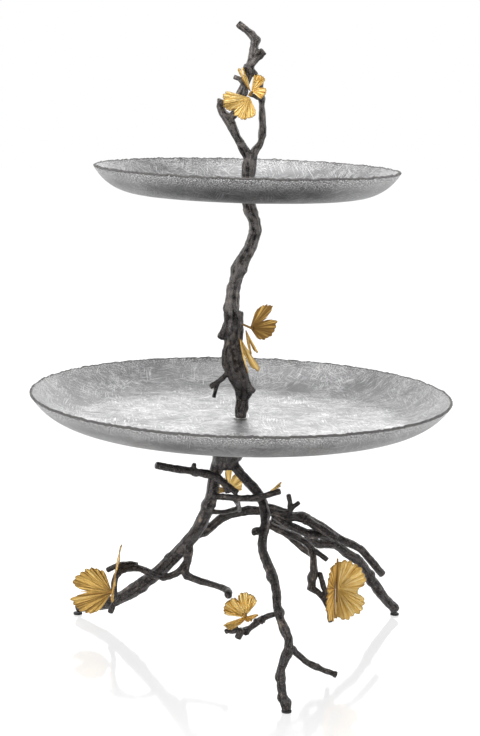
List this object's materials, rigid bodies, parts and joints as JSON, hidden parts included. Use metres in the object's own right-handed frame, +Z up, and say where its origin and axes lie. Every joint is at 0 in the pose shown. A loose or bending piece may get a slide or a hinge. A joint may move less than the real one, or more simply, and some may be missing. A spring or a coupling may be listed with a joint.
{
  "type": "tiered cake stand",
  "caption": "Two-tier serving stand: round hand-finished metal dishes on a branching twig-shaped stem with three legs, fan-leaf butterflies and a looped twig handle.",
  "frame": {"origin": "on the table, on the vertical axis that both dishes share", "axes": "+Z up along the dishes' axis, -Y towards the front leg, +X towards the right leg"},
  "size_m": [0.3556, 0.3556, 0.5292],
  "materials": {
    "dark_bronze": "oxidised cast bark texture, satin",
    "brushed_dish": "hand-ground crosshatched satin",
    "leaf_gold": "satin, fan-veined",
    "fastener": "zinc plated",
    "rubber": "matt"
  },
  "bodies": {
    "base": {"hub": "dark_bronze", "hub_stud": "fastener", "left_foot_pad": "rubber", "right_foot_pad": "rubber", "front_foot_pad": "rubber", "left_leg": "dark_bronze", "front_leg": "dark_bronze", "back_arch": "dark_bronze", "outer_right_branch": "dark_bronze", "inner_right_branch": "dark_bronze", "right_leg": "dark_bronze", "upper_crossing_twig": "dark_bronze", "front_crossing_twig": "dark_bronze", "lower_crossing_twig": "dark_bronze", "upright_fork_twig": "dark_bronze", "side_fork_twig": "dark_bronze", "left_wavy_twig": "dark_bronze", "left_wavy_fork": "dark_bronze", "left_dropping_twig": "dark_bronze", "front_leg_left_twig": "dark_bronze", "front_leg_right_twig": "dark_bronze", "hanging_twig": "dark_bronze", "hanging_back_twig": "dark_bronze", "hanging_twig_tip": "dark_bronze", "small_hanging_twig": "dark_bronze", "left_butterfly_wide_leaf": "leaf_gold", "left_butterfly_side_leaf": "leaf_gold", "front_butterfly_wide_leaf": "leaf_gold", "front_butterfly_side_leaf": "leaf_gold", "right_butterfly_wide_leaf": "leaf_gold", "right_butterfly_side_leaf": "leaf_gold", "hub_butterfly_wide_leaf": "leaf_gold", "hub_butterfly_side_leaf": "leaf_gold", "crossing_twig_leaf": "leaf_gold"},
    "lower_tier": {"lower_dish": "brushed_dish"},
    "stem_seat": {"stem_washer": "fastener"},
    "stem": {"stem": "dark_bronze", "stem_stud": "fastener", "stem_left_stub": "dark_bronze", "stem_upright_twig": "dark_bronze", "stem_low_twig": "dark_bronze", "stem_butterfly_wide_leaf": "leaf_gold", "stem_butterfly_side_leaf": "leaf_gold", "stem_butterfly_low_leaf": "leaf_gold"},
    "upper_tier": {"upper_dish": "brushed_dish"},
    "handle_seat": {"handle_washer": "fastener"},
    "handle": {"handle_trunk": "dark_bronze", "handle_left_prong": "dark_bronze", "handle_neck": "dark_bronze", "handle_right_prong": "dark_bronze", "handle_crown": "dark_bronze", "handle_short_stub": "dark_bronze", "handle_front_twig": "dark_bronze", "handle_butterfly_wide_leaf": "leaf_gold", "handle_butterfly_side_leaf": "leaf_gold", "handle_butterfly_upright_leaf": "leaf_gold"}
  },
  "joints": [
    {"name": "lower_tier_lift", "type": "slide", "parent": "base", "child": "lower_tier", "axis": [0, 0, 1], "range_m": [0, 0.018]},
    {"name": "stem_rise", "type": "slide", "parent": "lower_tier", "child": "stem_seat", "axis": [0, 0, 1], "range_m": [0, 0.0121]},
    {"name": "stem_turn", "type": "hinge", "parent": "stem_seat", "child": "stem", "pos_m": [0, 0, 0.2], "axis": [0, 0, 1], "range_deg": [0, 5400]},
    {"name": "upper_tier_lift", "type": "slide", "parent": "stem", "child": "upper_tier", "axis": [0, 0, 1], "range_m": [0, 0.018]},
    {"name": "handle_rise", "type": "slide", "parent": "upper_tier", "child": "handle_seat", "axis": [0, 0, 1], "range_m": [0, 0.0121]},
    {"name": "handle_turn", "type": "hinge", "parent": "handle_seat", "child": "handle", "pos_m": [0, 0, 0.391], "axis": [0, 0, 1], "range_deg": [0, 5400]}
  ],
  "couplings": [
    {"joint": "stem_rise", "follows": "stem_turn", "m_per_rad": 0.00012732},
    {"joint": "handle_rise", "follows": "handle_turn", "m_per_rad": 0.00012732}
  ]
}
